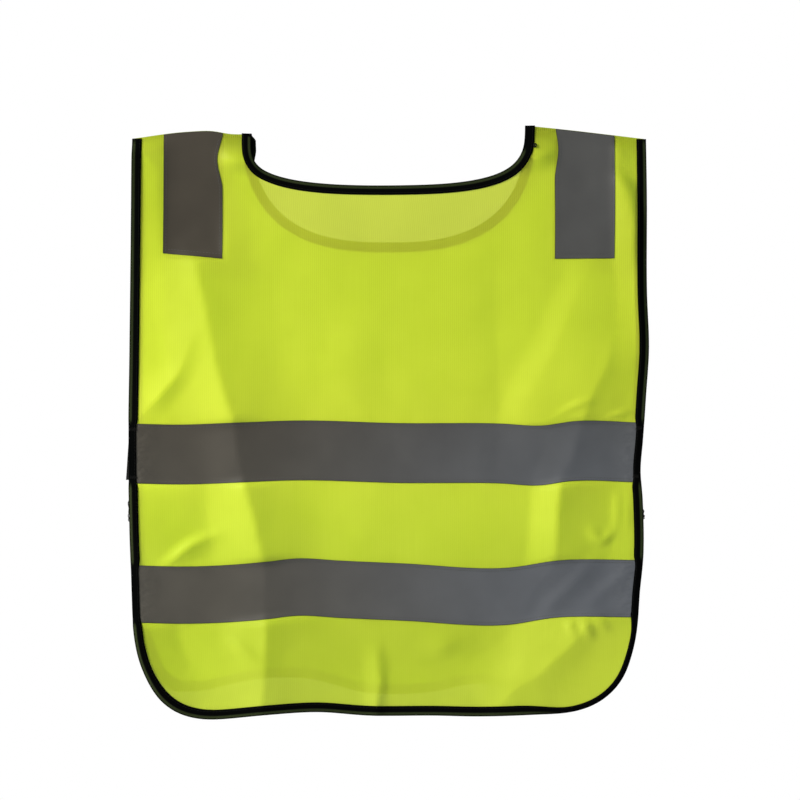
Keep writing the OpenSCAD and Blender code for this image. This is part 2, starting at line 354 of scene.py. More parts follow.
FOLDS = {
    BACK: [
        # The long fold from under the left shoulder tape down to the hem, broad below the tapes.
        Fold(
            [(-178, 92, 1.0), (-168, 108, 4.0), (-160, 128, 6.6), (-148, 184, 7.4), (-138, 221, 8.4),
             (-131, 249, 8.8), (-121, 301, 8.6), (-105, 366, 8.0), (-104, 416, 3.4), (-103, 470, 1.2),
             (-102, 500, 0.8)],
            46, 60, 0.95,
        ),
        Fold([(-105, 396, 1.2), (-105, 430, 6.2), (-104, 500, 7.4)], 62, 84, 1.0),
        # The short bright fold beside the left armhole.
        Fold([(-160, 168, 0.4), (-174, 200, 2.0), (-186, 219, 3.4), (-207, 241, 1.6)], 22, 16, 0.8),
        # The left edge stands up at the shoulder, and again between the tapes.
        Fold([(-218, 4, 2.0), (-218, 36, 7.6), (-217, 84, 5.0), (-216, 130, 0.6)], 8, 40, 0.8, 1.2),
        Fold([(-217, 284, 2.0), (-215, 312, 8.6), (-214, 340, 7.6), (-213, 366, 2.4)], 8, 62, 0.9, 1.0),
        Fold([(-142, 341, 0.8), (-160, 346, 3.2), (-173, 352, 3.6), (-190, 366, 1.4)], 9, 16, 0.9),
        # The broad diagonal below the right shoulder tape.
        Fold(
            [(176, 108, 0.6), (158, 146, 2.8), (138, 190, 3.2), (118, 234, 1.8), (114, 250, 1.0)],
            24, 60, 0.2,
        ),
        # The long crease from the right armhole to the upper tape, and its sharper lower half.
        Fold(
            [(190, 166, 0.8), (180, 206, 4.6), (166, 249, 6.0), (160, 270, 5.0), (156, 290, 2.0)],
            74, 44, 0.8,
        ),
        Fold(
            [(164, 262, 1.0), (158, 284, 5.4), (150, 300, 7.0), (146, 330, 7.0), (143, 366, 5.4),
             (136, 380, 3.4), (118, 402, 1.6)],
            26, 46, 0.95, 1.2,
        ),
        # The sharp line where the vest was folded for packing.
        Fold([(92, 96, -0.6), (92, 180, -1.2), (93, 256, -1.0), (94, 300, -0.3)], 30, 40, 1.0),
        # The bright diagonal below the lower tape on the right.
        Fold(
            [(196, 404, 1.5), (178, 424, 6.6), (140, 456, 7.4), (98, 486, 5.0), (82, 498, 1.6)],
            48, 84, 0.8, 1.25,
        ),
        Fold([(220, 414, 0.8), (216, 440, 3.6), (200, 470, 4.0), (178, 490, 2.0)], 34, 10, 0.7, 1.2),
        # The bulge beside the right shoulder tape.
        Fold(
            [(180, 41, 1.4), (190, 43, 3.4), (198, 50, 4.2), (203, 64, 4.4), (206, 90, 4.4),
             (208, 120, 3.8), (209, 160, 2.8), (208, 192, 0.8)],
            18, 10, 1.0, 1.0,
        ),
        Fold([(187, 0, 0.8), (188, 14, 3.6), (188, 30, 3.0), (188, 40, 0.5)], 44, 28, 0.7, 1.1),
        # Short creases just above the upper tape at the right end.
        Fold([(142, 242, 0.3), (160, 236, 2.0), (176, 233, 0.3)], 7, 6, 0.9),
        Fold([(186, 246, 0.3), (198, 242, 2.0), (207, 240, 0.3)], 6, 5, 0.9),
        # The small upright wrinkles between the tapes at the right end.
        Fold([(197, 304, 0.2), (197, 326, 1.4), (196, 342, 0.3)], 6, 6, 0.6),
        Fold([(205, 308, 0.2), (205, 330, 1.2), (204, 344, 0.3)], 6, 6, 0.6),
        Fold([(172, 338, 0.2), (177, 348, 2.2), (185, 350, 2.2), (193, 340, 0.3)], 7, 7, 0.8),
        # Puckers under the lower tape's edge.
        Fold([(158, 417, 0.3), (161, 424, 2.0), (166, 433, 0.3)], 5, 6, 0.8),
        Fold([(170, 417, 0.3), (174, 425, 2.2), (181, 436, 0.3)], 5, 6, 0.8),
        Fold([(184, 416, 0.3), (188, 422, 1.6), (194, 430, 0.3)], 5, 6, 0.8),
        # Slanting strains across the right end of the lower tape.
        Fold([(182, 364, 0.4), (164, 384, 3.0), (146, 402, 2.6), (132, 416, 0.4)], 12, 14, 0.6),
        Fold([(208, 372, 0.4), (192, 390, 2.8), (174, 410, 0.8)], 9, 11, 0.6),
        # The thin diagonal in the bottom left, and the raised rim of that corner.
        Fold([(-137, 428, 0.3), (-123, 442, 2.4), (-107, 460, 0.4)], 10, 12, 0.9),
        Fold(
            [(-218, 398, 2.0), (-214, 420, 8.0), (-208, 452, 9.0), (-192, 478, 6.0), (-160, 494, 1.2)],
            8, 34, 1.0, 1.0,
        ),
        # The wedge at the bottom centre.
        Fold([(-8, 434, 0.3), (-7, 458, 2.6), (-8, 500, 2.6)], 16, 9, 0.9),
        Fold([(60, 430, 0.3), (46, 436, 1.6), (30, 444, 0.3)], 20, 16, 0.3),
        # The broad soft rise left of the middle.
        Fold([(-30, 150, 0.2), (-30, 208, 1.6), (-28, 246, 0.2)], 30, 34, 0.0),
        # Creases under the shoulder seams, where the cloth drops in below the seam's bulk.
        Fold([(-146, 24, 1.0), (-128, 26, 6.0), (-112, 28, 3.8), (-104, 30, 1.0)], 14, 22, 0.5),
        Fold([(104, 32, 1.0), (114, 28, 5.0), (128, 26, 5.6), (146, 24, 0.8)], 14, 22, 0.5),
    ],
    FRONT: [
        Fold([(150, 120, 0.4), (140, 230, 3.4), (112, 360, 4.2), (96, 470, 3.0)], 34, 30, 0.8),
        Fold([(-172, 160, 0.4), (-158, 260, 3.2), (-130, 380, 3.6), (-118, 470, 2.0)], 30, 38, 0.8),
        Fold([(-20, 190, 0.2), (-12, 300, 1.8), (6, 400, 2.4), (10, 470, 2.4)], 40, 36, 0.3),
        Fold([(60, 330, 0.2), (52, 400, 1.6), (50, 470, 2.0)], 20, 24, 0.7),
        Fold([(-70, 420, 0.4), (-66, 450, 1.8), (-64, 474, 1.8)], 22, 18, 0.7),
        Fold([(196, 60, 0.2), (202, 110, 1.8), (206, 160, 0.3)], 18, 14, 0.7),
    ],
}


def from_tape_middle(x, s):
    """Distance from the nearest tape's middle line, so a tape's edge is at half its width."""
    cross = np.minimum(np.abs(s - UPPER_TAPE), np.abs(s - LOWER_TAPE))
    hanging = np.maximum(np.abs(np.abs(x) - SHOULDER_TAPE_X), s - SHOULDER_TAPE_END + TAPE_W / 2)
    return np.minimum(cross, hanging)


def on_tape(x, s):
    """1 under a tape, easing to 0 just outside it."""
    return smooth((TAPE_W / 2 + 5 - from_tape_middle(x, s)) / 10)


def well_under_tape(x, s):
    """1 under a tape, easing to 0 inside its edge."""
    return smooth((TAPE_W / 2 - 2 - from_tape_middle(x, s)) / 4)


def relief(side, x, s):
    """How far folds and bulges lift the cloth outward."""
    seed = 11 if side == BACK else 12
    below = s - shoulder_s(x)
    astray = 1.5 * value_noise(x, s, 24.0, seed + 20), 1.5 * value_noise(x, s, 24.0, seed + 30)
    lift = 0.0
    for fold in FOLDS[side]:
        lift = lift + fold.height(x + astray[0], s + astray[1])
    lift = lift * (1 - TAPE_STIFFNESS * on_tape(x, s)) * smooth((below - 1) / 14)
    lift = lift + CROWN * (1 - (x / HALF_W) ** 2) * smooth(below / 140)
    lumps = 0.45 * value_noise(x, s, 36.0, seed) + 0.15 * value_noise(x, s, 14.0, seed + 5)
    return lift + lumps * smooth(below / 60)


def hang(side, x, s, d):
    """Flat cloth points hung on a side of the vest, in metres."""
    x, s, d = np.broadcast_arrays(*(np.asarray(v, float) for v in (x, s, d)))
    below = s - shoulder_s(x)
    gap = SEAM_GAP + (GAP - SEAM_GAP) * smooth(below / 8)
    out = gap + relief(side, x, s) + d
    right = x + sideways(side, x, s)
    down = s + downward(side, x, s)
    y = -out * math.cos(LEAN) - down * math.sin(LEAN)
    z = out * math.sin(LEAN) - down * math.cos(LEAN)
    if side == FRONT:
        y = -y
    return np.stack([right, y, z], axis=-1) * MM


def tape_step(s):
    """How far a cross tape at depth s lifts a binding that lies over it."""
    step = 0.0
    for middle in (UPPER_TAPE, LOWER_TAPE):
        step = np.maximum(step, smooth((TAPE_W / 2 + 0.8 - np.abs(s - middle)) / 1.6))
    return step * (TAPE_OUT - TAPE_IN)


# ---------------------------------------------------------------- mesh building


def turn_faces_outward(mesh):
    """Faces every closed shell of a mesh outward."""
    turned = bmesh.new()
    turned.from_mesh(mesh)
    bmesh.ops.recalc_face_normals(turned, faces=turned.faces)
    turned.to_mesh(mesh)
    turned.free()


def make_piece(name, points, faces, flat, material, shade):
    """A mesh piece with its flat place as a UV map, and a shade for each point."""
    mesh = bpy.data.meshes.new(name)
    mesh.from_pydata([tuple(p) for p in points], [], faces)
    mesh.validate()
    turn_faces_outward(mesh)
    layer = mesh.uv_layers.new(name="flat")
    corners = np.zeros(len(mesh.loops), np.int32)
    mesh.loops.foreach_get("vertex_index", corners)
    layer.data.foreach_set("uv", (flat[corners] * MM).astype(np.float32).ravel())
    attribute = mesh.attributes.new("shade", "FLOAT", "POINT")
    attribute.data.foreach_set("value", np.asarray(shade, np.float32))
    mesh.materials.append(material)
    mesh.polygons.foreach_set("use_smooth", np.ones(len(mesh.polygons), bool))
    mesh.set_sharp_from_angle(angle=math.radians(50))
    piece = bpy.data.objects.new(name, mesh)
    bpy.context.scene.collection.objects.link(piece)
    return piece


class Shape:
    """Points and faces gathered for one piece."""

    def __init__(self):
        self.points, self.faces, self.flat, self.shade = [], [], [], []
        self.count = 0

    def add(self, points, faces, flat, shade=0.0):
        """Adds points with their faces, flat places and shades."""
        points = np.asarray(points, float).reshape(-1, 3)
        self.points.append(points)
        self.flat.append(np.asarray(flat, float).reshape(-1, 2))
        self.shade.append(np.broadcast_to(np.ravel(shade), (len(points),)))
        self.faces.extend([tuple(int(i) + self.count for i in face) for face in faces])
        self.count += len(points)

    def piece(self, name, material):
        """The finished piece."""
        points, flat, shade = map(np.concatenate, (self.points, self.flat, self.shade))
        return make_piece(name, points, self.faces, flat, material, shade)


def grid_faces(rows, columns, wrap=False):
    """Quads of a grid of points, row by row. A wrapped grid closes across its columns."""
    faces = []
    for i in range(rows - 1):
        for j in range(columns if wrap else columns - 1):
            k = (j + 1) % columns
            near, far = i * columns, (i + 1) * columns
            faces.append((near + j, far + j, far + k, near + k))
    return faces


def tube_faces(rows, columns):
    """Quads of a grid wrapped into a tube, with a face over each end."""
    last = (rows - 1) * columns
    ends = [tuple(range(columns)), tuple(range(last, last + columns))]
    return grid_faces(rows, columns, wrap=True) + ends


def slab_faces(rows, columns):
    """Quads of two grids of points, one after the other, and of the wall between their rims."""
    count = rows * columns
    faces = grid_faces(rows, columns)
    faces += [tuple(i + count for i in face) for face in faces]
    last = count - columns
    ring = list(range(columns))
    ring += [i * columns + columns - 1 for i in range(1, rows)]
    ring += list(range(count - 2, last - 1, -1))
    ring += list(range(last - columns, 0, -columns))
    return faces + [(i, j, j + count, i + count) for i, j in zip(ring, ring[1:] + ring[:1])]


def cloth_mesh(side, name, material):
    """A panel as a thin closed cloth cut to its outline."""
    outline = panel_outline(side)
    xs = np.arange(-HALF_W, HALF_W, CELL) + CELL / 2
    ss = np.arange(0.0, LENGTH[side], CELL) + CELL / 2
    inner = np.array([(x, s) for s in ss for x in xs])
    inner = inner[inside(outline, inner, CELL * 0.55)]
    rows = rows_along_binding(side, outline)
    inner = inner[[np.hypot(*(rows - p).T).min() > CELL * 0.45 for p in inner]]
    coords = [Vector(p) for p in np.vstack([outline, rows, inner])]
    ring = list(range(len(outline)))
    made = delaunay_2d_cdt(coords, [], [ring], 1, 0.01)
    flat = np.array([tuple(v) for v in made[0]])
    triangles = [tuple(face) for face in made[2]]
    count = len(flat)
    faces = triangles + [tuple(i + count for i in t) for t in triangles]
    faces += [(i, j, j + count, i + count) for i, j in rim_edges(triangles)]
    x, s = flat.T
    # Closer cloth lets less through: lower down, and most of all at the bottom right.
    openness = 1.0 - 0.38 * smooth((s - 110) / 220)
    openness -= 0.42 * smooth((s - 390) / 40) * smooth((x - 60) / 60)
    openness = np.concatenate([openness * OUTER_OPENNESS, openness * INNER_OPENNESS])
    pressed = 0.28 * well_under_tape(x, s)
    points = np.vstack([hang(side, x, s, KNIT - pressed), hang(side, x, s, -KNIT - pressed)])
    return make_piece(name, points, faces, np.vstack([flat, flat]), material, openness)


def rows_along_binding(side, outline):
    """Cloth points in rows beside the raw edges, so that the cloth bends just as the binding does."""
    rows = []
    for path in (edge_path(side, 3.0), neck_path(side, 3.0)):
        into = inward_of_edge(path)
        rows += [path + into * distance for distance in (2.6, 5.2, 7.8)]
    rows = np.vstack(rows)
    return rows[inside(outline, rows, 2.0)]


def rim_edges(triangles):
    """Edges that only one triangle uses."""
    used = Counter(tuple(sorted((t[k], t[k - 1]))) for t in triangles for k in range(3))
    return [edge for edge, times in used.items() if times == 1]


def inside(outline, points, clearance):
    """Which points lie inside an outline and at least clearance from it."""
    x, s = points[:, 0], points[:, 1]
    within = np.zeros(len(points), bool)
    near = np.full(len(points), 1e9)
    for a, b in zip(outline, np.roll(outline, -1, axis=0)):
        crosses = (a[1] > s) != (b[1] > s)
        run = b - a
        with np.errstate(divide="ignore", invalid="ignore"):
            at = a[0] + (s - a[1]) * run[0] / run[1]
        within ^= crosses & (x < at)
        t = np.clip(((x - a[0]) * run[0] + (s - a[1]) * run[1]) / max(run @ run, 1e-9), 0, 1)
        near = np.minimum(near, np.hypot(x - a[0] - t * run[0], s - a[1] - t * run[1]))
    return within & (near > clearance)


def tightness(side, path):
    """How narrow a binding is pulled along its path, a column: less wide over the tapes."""
    s = path[:, 1]
    near = np.minimum(np.abs(s - UPPER_TAPE), np.abs(s - LOWER_TAPE))
    on_side = smooth((np.abs(path[:, 0]) - 190) / 10)
    narrow = 0.22 * on_side * smooth((TAPE_W / 2 + 5 - near) / 10)
    return (1 - np.maximum(narrow, 0.42 * rolled_corner(side, path[:, 0], s)))[:, None]


def rolled_corner(side, x, s):
    """1 where the binding rolls edge-on, at the back's bottom right corner."""
    corner = smooth((x - 110) / 50) * smooth((s - 400) / 30)
    return corner if side == BACK else 0.0 * corner


def swept_band(shape, side, path, inward, section, shade_of):
    """A closed band along a path. section lists (distance in from the edge, d) points."""
    across, depth = np.array(section).T
    tight = tightness(side, path)
    x = path[:, 0][:, None] + inward[:, 0][:, None] * across * tight
    s = path[:, 1][:, None] + inward[:, 1][:, None] * across * tight
    d = depth + np.where(depth > 0, tape_step(s), 0.0)
    along = np.concatenate([[0.0], np.cumsum(np.hypot(*np.diff(path, axis=0).T))])
    flat = np.stack(np.broadcast_arrays(across, along[:, None]), axis=-1)
    shade = shade_of(x, s, np.broadcast_to(across, x.shape))
    shape.add(hang(side, x, s, d), tube_faces(*x.shape), flat, shade)


# The binding's section: a channel round the raw edge, thicker where its inner edge turns under.
BINDING_SECTION = [
    (7.5, BIND_IN), (7.6, 0.62), (7.3, BIND_THICK), (5.2, BIND_THICK + 0.05), (3.4, BIND_THICK),
    (2.7, BIND_THIN + 0.05), (2.0, BIND_THIN), (1.2, BIND_THIN), (0.5, BIND_THIN),
    (0.0, BIND_THIN), (-0.45, 0.45), (-0.62, 0.0), (-0.45, -0.45), (0.1, -BIND_THIN),
    (2.9, -BIND_THIN), (4.2, -BIND_THICK), (7.2, -BIND_THICK), (7.5, -0.62), (7.4, -BIND_IN),
    (3.0, -BIND_IN), (0.3, -0.28), (0.3, 0.28), (3.0, BIND_IN),
]


def with_rims(steps, rim):
    """Even steps from 0 to 1 with one more close to each end."""
    even = np.linspace(0, 1, steps)
    return np.concatenate([[0.0, rim], even[1:-1], [1 - rim, 1.0]])


def patch(shape, side, x, s, low, high):
    """A thin closed patch over a grid of flat points x, s, between two depths.

    Its shade is 1 along its cut rim and 0 elsewhere.
    """
    rim = np.ones(x.shape)
    rim[1:-1, 1:-1] = 0
    points = np.concatenate([hang(side, x, s, high), hang(side, x, s, low)])
    flat = np.stack([x, s], axis=-1).reshape(-1, 2)
    shape.add(points, slab_faces(*x.shape), np.vstack([flat, flat]), np.tile(rim.ravel(), 2))


# Rings of one stitch: place along it, girth and rise, as shares of its length and radius.
STITCH_RINGS = [(-0.5, 0.35, -0.5), (-0.36, 1.0, 0.35), (0.36, 1.0, 0.35), (0.5, 0.35, -0.5)]
STITCH_SIDES = 5


def stitch_row(shape, side, path, spacing, length, level, over_tapes=False):
    """Separate stitches along a flat line, each a small rounded bar that dips at its ends.

    level is the depth of the surface that they lie on, below 0 for the inside of the cloth.
    over_tapes raises them where a binding crosses a tape.
    """
    centres = resampled(path, spacing)
    along = tangents(centres)
    across = np.column_stack([-along[:, 1], along[:, 0]])
    turn = 2 * np.pi * np.arange(STITCH_SIDES) / STITCH_SIDES
    flat, rises = [], []
    for place, girth, rise in STITCH_RINGS:
        sideways_by = THREAD_R * girth * np.cos(turn)
        at = centres[:, None, :] + along[:, None, :] * (place * length)
        flat.append(at + across[:, None, :] * sideways_by[None, :, None])
        up = THREAD_R * (girth * np.sin(turn) + rise)
        rises.append(np.broadcast_to(up, (len(centres), STITCH_SIDES)))
    flat = np.stack(flat, axis=1).reshape(len(centres), -1, 2)
    rises = np.stack(rises, axis=1).reshape(len(centres), -1)
    x, s = flat[..., 0], flat[..., 1]
    surface = level + (tape_step(s) if over_tapes else 0.0)
    points = hang(side, x, s, surface + math.copysign(1, level) * rises)
    one = tube_faces(len(STITCH_RINGS), STITCH_SIDES)
    size = x.shape[1]
    faces = [tuple(i + k * size for i in face) for k in range(len(centres)) for face in one]
    shape.add(points, faces, flat)


def tube(shape, side, path, radius):
    """A loose thread through (x, s, d) points, closed and rounded at its ends."""
    path = np.asarray(path, float)
    sides = 6
    turn = 2 * np.pi * np.arange(sides) / sides
    along = tangents(path[:, :2])
    across = np.column_stack([-along[:, 1], along[:, 0]])
    share = np.linspace(0, 1, len(path))
    girth = radius * np.sqrt(np.clip(1 - np.abs(2 * share - 1) ** 8, 0.06, 1))[:, None]
    x = path[:, :1] + across[:, :1] * girth * np.cos(turn)
    s = path[:, 1:2] + across[:, 1:] * girth * np.cos(turn)
    d = path[:, 2:] + girth * np.sin(turn)
    shape.add(hang(side, x, s, d), tube_faces(len(path), sides), np.stack([x, s], axis=-1))


# ---------------------------------------------------------------- materials


def node(tree, kind, inputs=None, **settings):
    """A shader node with its settings and its inputs, which are numbers or other nodes' outputs."""
    made = tree.nodes.new(kind)
    for name, value in settings.items():
        setattr(made, name, value)
    for key, value in (inputs or {}).items():
        if isinstance(value, bpy.types.NodeSocket):
            tree.links.new(value, made.inputs[key])
        else:
            made.inputs[key].default_value = value
    return made


def result(tree, kind, inputs=None, **settings):
    """The first output of a new node."""
    return node(tree, kind, inputs, **settings).outputs[0]


def maths(tree, operation, *values):
    """The result of a Math node."""
    return result(tree, "ShaderNodeMath", dict(enumerate(values)), operation=operation)


def mixed(tree, share, first, second):
    """A colour between two others."""
    inputs = {0: share, 6: first, 7: second}
    return node(tree, "ShaderNodeMix", inputs, data_type="RGBA").outputs[2]


def scaled_colour(tree, colour, factor):
    """A colour made lighter or darker."""
    return result(tree, "ShaderNodeVectorMath", {0: colour, "Scale": factor}, operation="SCALE")


def tinted(tree, colour, tint):
    """A colour multiplied by another."""
    return result(tree, "ShaderNodeVectorMath", {0: colour, 1: tint}, operation="MULTIPLY")


def new_material(name):
    """An empty node material, and its tree."""
    material = bpy.data.materials.new(name)
    material.use_nodes = True
    material.node_tree.nodes.clear()
    return material, material.node_tree


def flat_place(tree):
    """The flat place of the surface: its vector, x and s, in metres."""
    uv = result(tree, "ShaderNodeUVMap", uv_map="flat")
    parts = node(tree, "ShaderNodeSeparateXYZ", {0: uv}).outputs
    return uv, parts[0], parts[1]


def shade_of_point(tree):
    """The shade that the mesh stores at each point."""
    return node(tree, "ShaderNodeAttribute", attribute_name="shade").outputs[2]


def stretched(tree, place, across, down):
    """A place scaled by its own amount each way."""
    return result(tree, "ShaderNodeMapping", {"Vector": place, "Scale": (across, down, 1.0)})


def ripple(tree, along, pitch):
    """A wave from 0 to 1 with that pitch in metres."""
    wave = maths(tree, "SINE", maths(tree, "MULTIPLY", along, 2 * math.pi / pitch))
    return maths(tree, "MULTIPLY_ADD", wave, 0.5, 0.5)


def eased(tree, value, start, end):
    """0 to 1 as a value passes from start to end."""
    inputs = {0: value, 1: start, 2: end, 3: 0.0, 4: 1.0}
    return result(tree, "ShaderNodeMapRange", inputs, interpolation_type="SMOOTHSTEP")


def noise(tree, vector, scale, detail=2.0):
    """Noise from 0 to 1 whose lumps are about 1 / scale metres across."""
    return result(tree, "ShaderNodeTexNoise", {"Vector": vector, "Scale": scale, "Detail": detail})


def bump(tree, height, distance, strength=1.0):
    """A normal from a height of 0 to 1 that stands distance metres tall."""
    inputs = {"Height": height, "Distance": distance, "Strength": strength}
    return result(tree, "ShaderNodeBump", inputs)


def opaque(tree, colour, roughness, specular, normal):
    """An opaque surface."""
    inputs = {"Base Color": colour, "Roughness": roughness, "Normal": normal}
    inputs["Specular IOR Level"] = specular
    return result(tree, "ShaderNodeBsdfPrincipled", inputs)


def knit_material():
    """Fluorescent yellow warp knit with upright ribs, partly see-through."""
    material, tree = new_material("knit")
    place, x, s = flat_place(tree)
    ribs = ripple(tree, x, 0.00165)
    courses = ripple(tree, s, 0.0011)
    stitches = maths(tree, "MULTIPLY", ribs, maths(tree, "MULTIPLY_ADD", courses, 0.15, 0.85))
    clouds = noise(tree, place, 22.0, 3.0)
    streaks = noise(tree, stretched(tree, place, 700.0, 18.0), 1.0, 1.0)
    tone = maths(tree, "MULTIPLY_ADD", ribs, 0.12, maths(tree, "MULTIPLY", clouds, 0.6))
    tone = maths(tree, "MULTIPLY_ADD", streaks, 0.22, tone)
    # Painted shade: dimmer just below the shoulder seams, where the doubled allowance lets less light
    # through, and toward the hem, where less light falls; greener in the lower half.
    painted_hem_shade = maths(tree, "MULTIPLY_ADD", eased(tree, s, 0.28, 0.45), -0.20, 0.58)
    painted_seam_shade = maths(tree, "MULTIPLY", eased(tree, s, 0.0, 0.031), 0.42)
    light = maths(tree, "ADD", painted_hem_shade, painted_seam_shade)
    lower = eased(tree, s, 0.22, 0.38)
    greener = mixed(tree, lower, (1.0, 1.0, 1.0, 1.0), (0.965, 1.03, 0.97, 1.0))
    tint = scaled_colour(tree, greener, light)
    colour = mixed(tree, tone, (0.54, 0.61, 0.031, 1.0), (0.70, 0.74, 0.062, 1.0))
    through_colour = mixed(tree, tone, (0.43, 0.60, 0.024, 1.0), (0.55, 0.72, 0.045, 1.0))
    normal = bump(tree, stitches, 0.00008, 0.35)
    cloth = opaque(tree, tinted(tree, colour, tint), 0.55, 0.25, normal)
    glow_inputs = {"Color": tinted(tree, through_colour, tint), "Normal": normal}
    glow = result(tree, "ShaderNodeBsdfTranslucent", glow_inputs)
    body = result(tree, "ShaderNodeMixShader", {0: 0.30, 1: cloth, 2: glow})
    holes = maths(tree, "MULTIPLY", maths(tree, "SUBTRACT", 1.0, stitches), 0.05)
    see = maths(tree, "MULTIPLY", shade_of_point(tree), maths(tree, "ADD", holes, 0.58))
    clear = result(tree, "ShaderNodeBsdfTransparent", {"Color": (0.91, 0.97, 0.50, 1.0)})
    cover = result(tree, "ShaderNodeMixShader", {0: see, 1: body, 2: clear})
    node(tree, "ShaderNodeOutputMaterial", {0: cover})
    return material


def tape_material():
    """Matt grey glass-bead tape with painted light: browner and darker at the top left, bluer at the
    bottom right.
    """
    material, tree = new_material("tape")
    place, x, s = flat_place(tree)
    # Painted light: a ramp from browner and darker at the top left to bluer at the bottom right, as the
    # coloured lamps catch the beads.
    down, across = eased(tree, s, 0.12, 0.39), eased(tree, x, -0.16, 0.19)
    left = mixed(tree, down, (0.026, 0.021, 0.0145, 1.0), (0.040, 0.0365, 0.030, 1.0))
    right = mixed(tree, down, (0.0425, 0.0425, 0.0425, 1.0), (0.063, 0.068, 0.080, 1.0))
    painted_light_ramp = mixed(tree, across, left, right)
    beads = noise(tree, place, 9000.0, 1.0)
    clouds = noise(tree, place, 30.0, 3.0)
    tone = maths(tree, "MULTIPLY_ADD", beads, 0.12, 0.76)
    tone = maths(tree, "MULTIPLY_ADD", clouds, 0.36, tone)
    # Painted shade: a dark line along the tape's cut edge.
    painted_edge_shade = (0.012, 0.011, 0.009, 1.0)
    colour = mixed(tree, shade_of_point(tree), scaled_colour(tree, painted_light_ramp, tone), painted_edge_shade)
    ends = eased(tree, maths(tree, "ABSOLUTE", x), 0.190, 0.212)
    crumpled = noise(tree, stretched(tree, place, 90.0, 170.0), 1.0, 2.0)
    height = maths(tree, "MULTIPLY_ADD", beads, 0.02, maths(tree, "MULTIPLY", crumpled, ends))
    surface = opaque(tree, colour, 0.55, 0.3, bump(tree, height, 0.0022, 0.6))
    node(tree, "ShaderNodeOutputMaterial", {0: surface})
    return material


def binding_material():
    """Black woven binding: near black where it is doubled, dark olive where it is single."""
    material, tree = new_material("binding")
    place, x, s = flat_place(tree)
    weave = maths(tree, "MULTIPLY", ripple(tree, x, 0.0007), ripple(tree, s, 0.0006))
    fuzz = noise(tree, place, 900.0, 3.0)
    olive = mixed(tree, fuzz, (0.008, 0.011, 0.005, 1.0), (0.027, 0.036, 0.014, 1.0))
    black = mixed(tree, fuzz, (0.0005, 0.0006, 0.0006, 1.0), (0.0022, 0.0024, 0.0024, 1.0))
    colour = mixed(tree, shade_of_point(tree), olive, black)
    surface = opaque(tree, colour, 1.0, 0.0, bump(tree, weave, 0.00012, 0.7))
    node(tree, "ShaderNodeOutputMaterial", {0: surface})
    return material


def elastic_material():
    """Black braided elastic with fine ribs along its length."""
    material, tree = new_material("elastic")
    x, s = flat_place(tree)[1:]
    ribs = ripple(tree, s, 0.0016)
    braid = ripple(tree, maths(tree, "ADD", x, maths(tree, "MULTIPLY", s, 0.8)), 0.0012)
    height = maths(tree, "MULTIPLY_ADD", braid, 0.4, ribs)
    tone = maths(tree, "MULTIPLY", height, 0.7)
    colour = mixed(tree, tone, (0.002, 0.002, 0.002, 1.0), (0.010, 0.010, 0.011, 1.0))
    surface = opaque(tree, colour, 0.8, 0.1, bump(tree, height, 0.0002))
    node(tree, "ShaderNodeOutputMaterial", {0: surface})
    return material


def thread_material(name, dark, light):
    """Spun sewing thread, with its twist."""
    material, tree = new_material(name)
    x, s = flat_place(tree)[1:]
    twist = ripple(tree, maths(tree, "ADD", x, s), 0.0004)
    colour = mixed(tree, twist, (*dark, 1.0), (*light, 1.0))
    surface = opaque(tree, colour, 0.8, 0.1, bump(tree, twist, 0.00005))
    node(tree, "ShaderNodeOutputMaterial", {0: surface})
    return material


def doubled_knit_material():
    """The knit's own material again, for the doubled and sewn cloth of the seam allowances."""
    material = KNIT_CLOTH.copy()
    material.name = "knit_doubled"
    return material


def floor_material():
    """Plain pale floor."""
    material, tree = new_material("floor")
    inputs = {"Base Color": (0.86, 0.86, 0.86, 1.0), "Roughness": 0.8}
    surface = result(tree, "ShaderNodeBsdfPrincipled", inputs)
    node(tree, "ShaderNodeOutputMaterial", {0: surface})
    return material


KNIT_CLOTH = knit_material()
TAPE = tape_material()
BINDING = binding_material()
ELASTIC = elastic_material()
BLACK_THREAD = thread_material("black_thread", (0.001, 0.001, 0.001), (0.005, 0.005, 0.005))
GREY_THREAD = thread_material("grey_thread", (0.040, 0.039, 0.037), (0.095, 0.094, 0.090))
YELLOW_THREAD = thread_material("yellow_thread", (0.42, 0.56, 0.02), (0.66, 0.80, 0.05))
SEAM_KNIT = doubled_knit_material()

# ---------------------------------------------------------------- the pieces


def hand_name(hand):
    """left for -1, right for 1."""
    return "left" if hand < 0 else "right"


def placed(piece, side, cad_node):
    """Hides a finished piece's CAD node, and hangs a back piece on the back's body; a front piece keeps
    its place baked in.
    """
    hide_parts(cad_node)
    if side == BACK:
        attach(piece, "back")
    else:
        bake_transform(piece)
    return piece


def make_binding(side, place, path):
    """A binding along a raw edge, black where it is doubled, over the tapes and at its ends."""
    name = f"{side}_{place}_binding"

    def shade(x, s, across):
        """How black the binding is, across being the distance in from its raw edge."""
        thick = smooth((across - 1.8) / 0.6)
        fold = smooth((0.7 - across) / 0.5)
        near_tape = smooth((TAPE_W / 2 + 4 - from_tape_middle(x, s)) / 5)
        over_tape = smooth((np.abs(x) - 190) / 10) * near_tape
        end = smooth((3.2 - s + shoulder_s(x)) / 1.2)
        right_neck = smooth((24 - s) / 6) * (np.abs(x - NECK_HALF) < 20)
        rolled = rolled_corner(side, x, s)
        return np.clip(thick + 0.8 * fold + over_tape + end + right_neck + rolled, 0, 1)

    shape = Shape()
    swept_band(shape, side, path, inward_of_edge(path), BINDING_SECTION, shade)
    return placed(shape.piece(name + "_cloth", BINDING), side, name)


